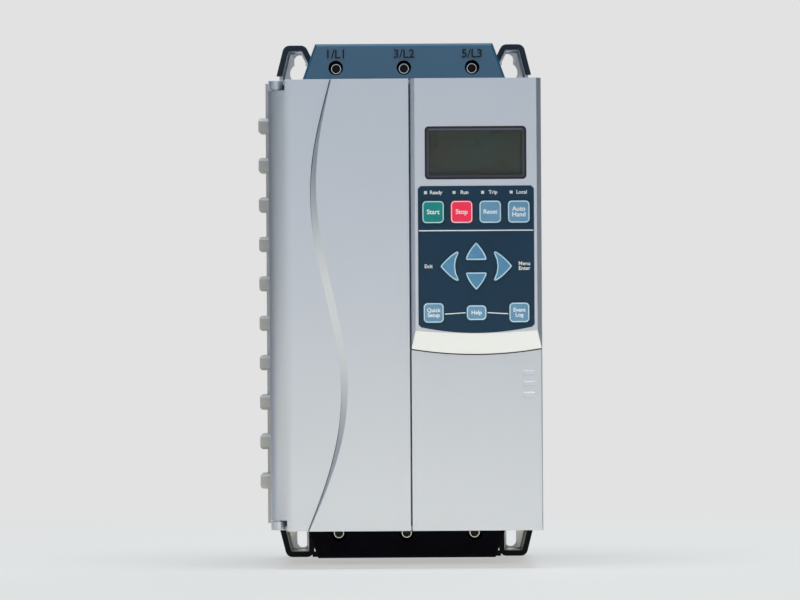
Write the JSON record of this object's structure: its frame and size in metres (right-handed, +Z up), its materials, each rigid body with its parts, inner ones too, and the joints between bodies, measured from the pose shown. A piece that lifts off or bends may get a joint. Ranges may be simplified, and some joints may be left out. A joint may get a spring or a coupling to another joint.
{
  "type": "soft starter",
  "caption": "Upright wall-mounted soft starter for a three-phase motor: silver front with a hinged wiring door, a raised keypad and display, and shrouded power terminals at both ends.",
  "frame": {"origin": "on the back face, at the centre of the mounting pattern", "axes": "+X to the right as seen from the front, +Y into the wall, +Z up"},
  "size_m": [0.156, 0.183, 0.295],
  "materials": {
    "zinc_sheet": "satin",
    "dark_moulding": "fine texture",
    "heatsink_aluminium": "extruded",
    "silver_moulding": "satin paint",
    "clear_window": "clear",
    "display": "grey-green",
    "navy_overlay": "fine texture",
    "lamp": "clear",
    "circuit_board": "solder mask",
    "dome_metal": "bright",
    "key_green": "satin",
    "key_red": "satin",
    "key_blue": "satin",
    "module_plastic": "moulded",
    "relay_plastic": "moulded",
    "copper": "tinned copper",
    "terminal_brass": "nickel plated",
    "plated_steel": "zinc plated",
    "plug_green": "moulded"
  },
  "bodies": {
    "unit": {"back_plate": "zinc_sheet", "chassis": "dark_moulding", "line_terminal_housing": "dark_moulding", "load_terminal_housing": "dark_moulding", "heatsink": "heatsink_aluminium", "front_cover": "silver_moulding", "wire_comb": "silver_moulding", "keypad_bezel": "silver_moulding", "display_window": "clear_window", "lcd_module": "display", "keypad_overlay": "navy_overlay", "status_leds": "lamp", "keypad_board": "circuit_board", "power_board": "circuit_board", "control_board": "circuit_board", "dome_switches": "dome_metal", "thyristor_module_a": "module_plastic", "thyristor_module_b": "module_plastic", "thyristor_module_c": "module_plastic", "current_transformer_a": "module_plastic", "current_transformer_b": "module_plastic", "current_transformer_c": "module_plastic", "supply_transformer": "module_plastic", "control_header": "module_plastic", "bypass_relay_a": "relay_plastic", "bypass_relay_b": "relay_plastic", "bypass_relay_c": "relay_plastic", "line_busbar_a": "copper", "line_busbar_b": "copper", "line_busbar_c": "copper", "load_busbar_a": "copper", "load_busbar_b": "copper", "load_busbar_c": "copper", "line_terminal_a": "terminal_brass", "line_terminal_b": "terminal_brass", "line_terminal_c": "terminal_brass", "load_terminal_a": "terminal_brass", "load_terminal_b": "terminal_brass", "load_terminal_c": "terminal_brass", "line_terminal_screws": "plated_steel", "load_terminal_screws": "plated_steel", "board_spacers": "plated_steel", "cover_screws": "plated_steel", "module_screws": "plated_steel", "control_plug_1": "plug_green", "control_plug_2": "plug_green", "control_plug_3": "plug_green", "control_plug_4": "plug_green"},
    "door": {"door": "silver_moulding"},
    "key_start_body": {"key_start": "key_green"},
    "key_stop_body": {"key_stop": "key_red"},
    "key_reset_body": {"key_reset": "key_blue"},
    "key_menu_body": {"key_menu": "key_blue"},
    "key_up_body": {"key_up": "key_blue"},
    "key_down_body": {"key_down": "key_blue"},
    "key_left_body": {"key_left": "key_blue"},
    "key_right_body": {"key_right": "key_blue"},
    "key_tool_left_body": {"key_tool_left": "key_blue"},
    "key_tool_middle_body": {"key_tool_middle": "key_blue"},
    "key_tool_right_body": {"key_tool_right": "key_blue"}
  },
  "joints": [
    {"name": "door_hinge", "type": "hinge", "parent": "unit", "child": "door", "pos_m": [-0.0705, -0.1665, 0], "axis": [0, 0, -1], "range_deg": [0, 100]},
    {"name": "key_start_press", "type": "slide", "parent": "unit", "child": "key_start_body", "axis": [0, 1, 0], "range_m": [0, 0.0006], "stiffness_N_per_m": 300},
    {"name": "key_stop_press", "type": "slide", "parent": "unit", "child": "key_stop_body", "axis": [0, 1, 0], "range_m": [0, 0.0006], "stiffness_N_per_m": 300},
    {"name": "key_reset_press", "type": "slide", "parent": "unit", "child": "key_reset_body", "axis": [0, 1, 0], "range_m": [0, 0.0006], "stiffness_N_per_m": 300},
    {"name": "key_menu_press", "type": "slide", "parent": "unit", "child": "key_menu_body", "axis": [0, 1, 0], "range_m": [0, 0.0006], "stiffness_N_per_m": 300},
    {"name": "key_up_press", "type": "slide", "parent": "unit", "child": "key_up_body", "axis": [0, 1, 0], "range_m": [0, 0.0006], "stiffness_N_per_m": 300},
    {"name": "key_down_press", "type": "slide", "parent": "unit", "child": "key_down_body", "axis": [0, 1, 0], "range_m": [0, 0.0006], "stiffness_N_per_m": 300},
    {"name": "key_left_press", "type": "slide", "parent": "unit", "child": "key_left_body", "axis": [0, 1, 0], "range_m": [0, 0.0006], "stiffness_N_per_m": 300},
    {"name": "key_right_press", "type": "slide", "parent": "unit", "child": "key_right_body", "axis": [0, 1, 0], "range_m": [0, 0.0006], "stiffness_N_per_m": 300},
    {"name": "key_tool_left_press", "type": "slide", "parent": "unit", "child": "key_tool_left_body", "axis": [0, 1, 0], "range_m": [0, 0.0006], "stiffness_N_per_m": 300},
    {"name": "key_tool_middle_press", "type": "slide", "parent": "unit", "child": "key_tool_middle_body", "axis": [0, 1, 0], "range_m": [0, 0.0006], "stiffness_N_per_m": 300},
    {"name": "key_tool_right_press", "type": "slide", "parent": "unit", "child": "key_tool_right_body", "axis": [0, 1, 0], "range_m": [0, 0.0006], "stiffness_N_per_m": 300}
  ]
}
